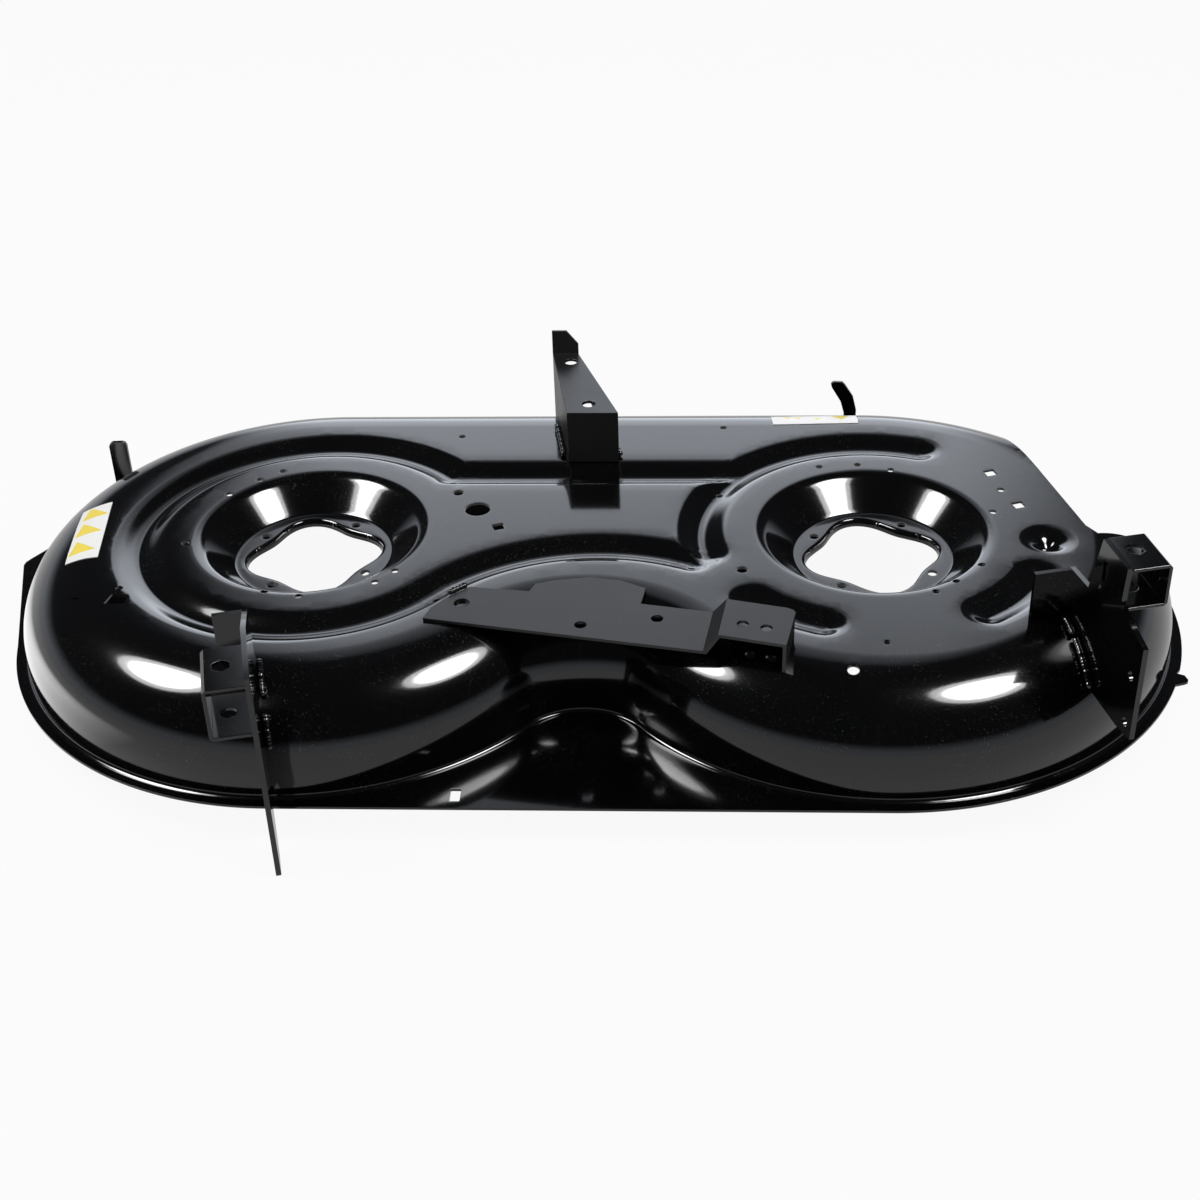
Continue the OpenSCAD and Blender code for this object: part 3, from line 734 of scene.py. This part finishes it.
def floor_paper(name):
    """Plain pale paper that the camera sees near white, with a painted shadow under the deck and painted pools of
    light under its openings.
    """
    finish = Finish(name)
    finish.set(Base_Color=(0.6, 0.6, 0.6, 1), Roughness=0.9, Specular_IOR_Level=0.1)
    place = finish.coordinates()

    def from_point(x, y):
        return finish.node("ShaderNodeVectorMath", {"operation": "DISTANCE"}, [place, (x, y, 0)], 1)

    split = [finish.node("ShaderNodeSeparateXYZ", {}, {"Vector": place}, i) for i in (0, 1)]
    # Painted shadow under the deck: inside this rounded outline the camera sees the floor black
    beyond = (split[0].maths("ABSOLUTE") - 0.267).maths("MAXIMUM", 0.0)
    across = split[1] - 0.045
    painted_shadow_distance = (beyond * beyond + across * across).maths("SQRT")
    painted_light_mask = painted_shadow_distance.above(0.245, 0.262)
    # Painted pools of light in that painted shadow: the wavy openings of the two bowls, as they fall on the floor
    # along the camera's sight
    for x, y in ((-0.3056, 0.1585), (0.2845, 0.1585)):
        bearing = (split[1] - y).maths("ARCTAN2", split[0] - x)
        wave = (bearing * 4.0 - math.radians(4 * 14)).maths("COSINE") * 0.0075 + 0.0675
        painted_light_mask = painted_light_mask + (1.0 - (from_point(x, y) - wave).above(-0.001, 0.001))
    # Painted round spots of light in the painted shadow
    for x, y, spread in ((-0.232, 0.117, 0.022), (0.3435, 0.123, 0.009), (0.251, -0.046, 0.035)):
        painted_light_mask = painted_light_mask + (1.0 - from_point(x, y).above(spread, spread + 0.004))
    # Past the discharge cut the floor is left out of the painted shadow
    past_discharge = (split[0] - 0.465) * 0.966 + (split[1] - 0.007) * 0.2585
    painted_light_mask = (painted_light_mask + past_discharge.above(0.0, 0.03)).maths("MINIMUM", 1.0)
    path = finish.tree.nodes.new("ShaderNodeLightPath")
    camera = Socket(finish, path.outputs["Is Camera Ray"])
    glossy = Socket(finish, path.outputs["Is Glossy Ray"])
    through = Socket(finish, path.outputs["Is Transmission Ray"])
    # Reflections see the paper a little darker, with a painted pool of light near the left softbox
    painted_softbox_pool = 1.0 - from_point(-0.80, -0.10).above(0.08, 0.34)
    # For the camera the floor glows as bright as the painted light mask, black in the painted shadow
    strength = 1.0 + glossy * (painted_softbox_pool * 2.0 - 0.5) + camera * (painted_light_mask - 1.0)
    glow = finish.node("ShaderNodeEmission", {}, {"Strength": strength})
    share = camera * 0.93 + glossy * 0.9 + through * 0.93
    blend = finish.tree.nodes.new("ShaderNodeMixShader")
    finish.tree.links.new(share.link_from, blend.inputs[0])
    finish.tree.links.new(finish.shader.outputs[0], blend.inputs[1])
    finish.tree.links.new(glow.link_from, blend.inputs[2])
    finish.tree.links.new(blend.outputs[0], finish.tree.nodes["Material Output"].inputs["Surface"])
    return finish.material


# Sine of the height above the horizon and half the brightness of the sheet behind the deck
SHEET_FADE = [(0.0, 0.60), (0.40, 0.85), (0.49, 0.72), (0.545, 0.54), (0.585, 0.36), (0.656, 0.21),
              (0.731, 0.15), (0.788, 0.085), (0.82, 0.01), (1.0, 0.0)]


def studio():
    bpy.ops.object.select_all(action="DESELECT")
    bpy.ops.mesh.primitive_plane_add(size=24, location=(0.267, 0, -0.1015))
    floor = bpy.context.object
    floor.name = "studio_floor"
    floor.data.materials.append(floor_paper("studio_floor_paper"))
    world = bpy.data.worlds.new("studio")
    bpy.context.scene.world = world
    world.use_nodes = True
    tree = world.node_tree
    back = tree.nodes["Background"]
    back.inputs["Color"].default_value = (1, 1, 1, 1)
    path = tree.nodes.new("ShaderNodeLightPath")

    def reckon(operation, first, second):
        made = tree.nodes.new("ShaderNodeMath")
        made.operation = operation
        for socket, value in zip(made.inputs, (first, second)):
            if isinstance(value, float):
                socket.default_value = value
            else:
                tree.links.new(value, socket)
        return made.outputs[0]

    def span(source, from_min, from_max, to_min, to_max):
        made = tree.nodes.new("ShaderNodeMapRange")
        for key, value in (("From Min", from_min), ("From Max", from_max), ("To Min", to_min), ("To Max", to_max)):
            made.inputs[key].default_value = value
        tree.links.new(source, made.inputs["Value"])
        return made.outputs[0]

    white = reckon("MAXIMUM", path.outputs["Is Camera Ray"], path.outputs["Is Transmission Ray"])
    place = tree.nodes.new("ShaderNodeTexCoord")
    split = tree.nodes.new("ShaderNodeSeparateXYZ")
    tree.links.new(place.outputs["Generated"], split.inputs[0])
    aside, ahead, height = split.outputs
    # Reflections see a dark room over a pale table, and a tall sheet that fades upward behind the deck
    table = span(height, 0.08, 0.24, 0.45, 0.03)
    sideways = reckon("ADD", reckon("DIVIDE", aside, reckon("MAXIMUM", ahead, 0.001)), 0.03)
    sheet_height = tree.nodes.new("ShaderNodeValToRGB")
    stops = sheet_height.color_ramp.elements
    for at, level in SHEET_FADE[1:-1]:
        stops.new(at)
    for stop, (at, level) in zip(stops, SHEET_FADE):
        stop.position = at
        stop.color = (level, level, level, 1)
    tree.links.new(height, sheet_height.inputs[0])
    behind = reckon("MULTIPLY", span(reckon("ABSOLUTE", sideways, 0.0), 0.19, 0.30, 2.0, 0.0), sheet_height.outputs[0])
    glossy = path.outputs["Is Glossy Ray"]
    room = reckon("MULTIPLY", glossy, reckon("ADD", table, behind))
    fill = reckon("MULTIPLY", reckon("SUBTRACT", 1.0, glossy), 0.35)
    strength = reckon("MAXIMUM", white, reckon("ADD", room, fill))
    tree.links.new(strength, back.inputs["Strength"])
    tint = tree.nodes.new("ShaderNodeMix")
    tint.data_type = "RGBA"
    tint.inputs[6].default_value = (1, 1, 1, 1)
    tint.inputs[7].default_value = (0.93, 0.985, 1.08, 1)
    tree.links.new(glossy, tint.inputs["Factor"])
    tree.links.new(tint.outputs[2], back.inputs["Color"])


def softbox(name, at, aim, size_x, size_y, radiance):
    """An oval lamp panel of the given radiance that the camera doesn't see."""
    data = bpy.data.lights.new(name, "AREA")
    data.shape = "ELLIPSE"
    data.size, data.size_y = size_x, size_y
    data.energy = radiance * math.pi * (math.pi / 4 * size_x * size_y)
    lamp = link(bpy.data.objects.new(name, data))
    lamp.location = at
    lamp.rotation_euler = (Vector(aim) - Vector(at)).to_track_quat("-Z", "Y").to_euler()
    lamp.visible_camera = False
    return lamp


studio()
# Each side lamp is a bright core, which shows only in reflections, in front of a wider glow
for part, share, radiance, back in (("core", 0.85, 17, 0.0), ("glow", 1.15, 7, 0.02)):
    for name, at, aim, size_x, size_y in (
            ("left_box_", (-1.35 - back, -0.10, 1.85 + back), (0.0, -0.1, 0), 1.10, 0.95),
            ("right_box_", (1.84 + back, -0.54, 2.54 + back), (0.4, -0.1, 0), 1.40, 1.20)):
        lamp = softbox(name + part, at, aim, size_x * share, size_y * share, radiance)
        lamp.visible_diffuse = part == "glow"

camera_data = bpy.data.cameras.new("photo_camera")
camera = link(bpy.data.objects.new("photo_camera", camera_data))
camera_data.sensor_width = 36
camera_data.lens = 56.25
camera_data.clip_end = 100
right = Vector((0.99868, 0.04337, -0.02761))
up = Vector((-0.00138, 0.55945, 0.82886))
ahead = Vector((-0.05139, 0.82773, -0.55877))
turn = Matrix((right, up, -ahead)).transposed()
camera.matrix_world = Matrix.Translation(Vector((367.5, -1508.1, 965.6)) * MM) @ turn.to_4x4()
bpy.context.scene.camera = camera
bpy.context.scene.view_settings.view_transform = "Standard"
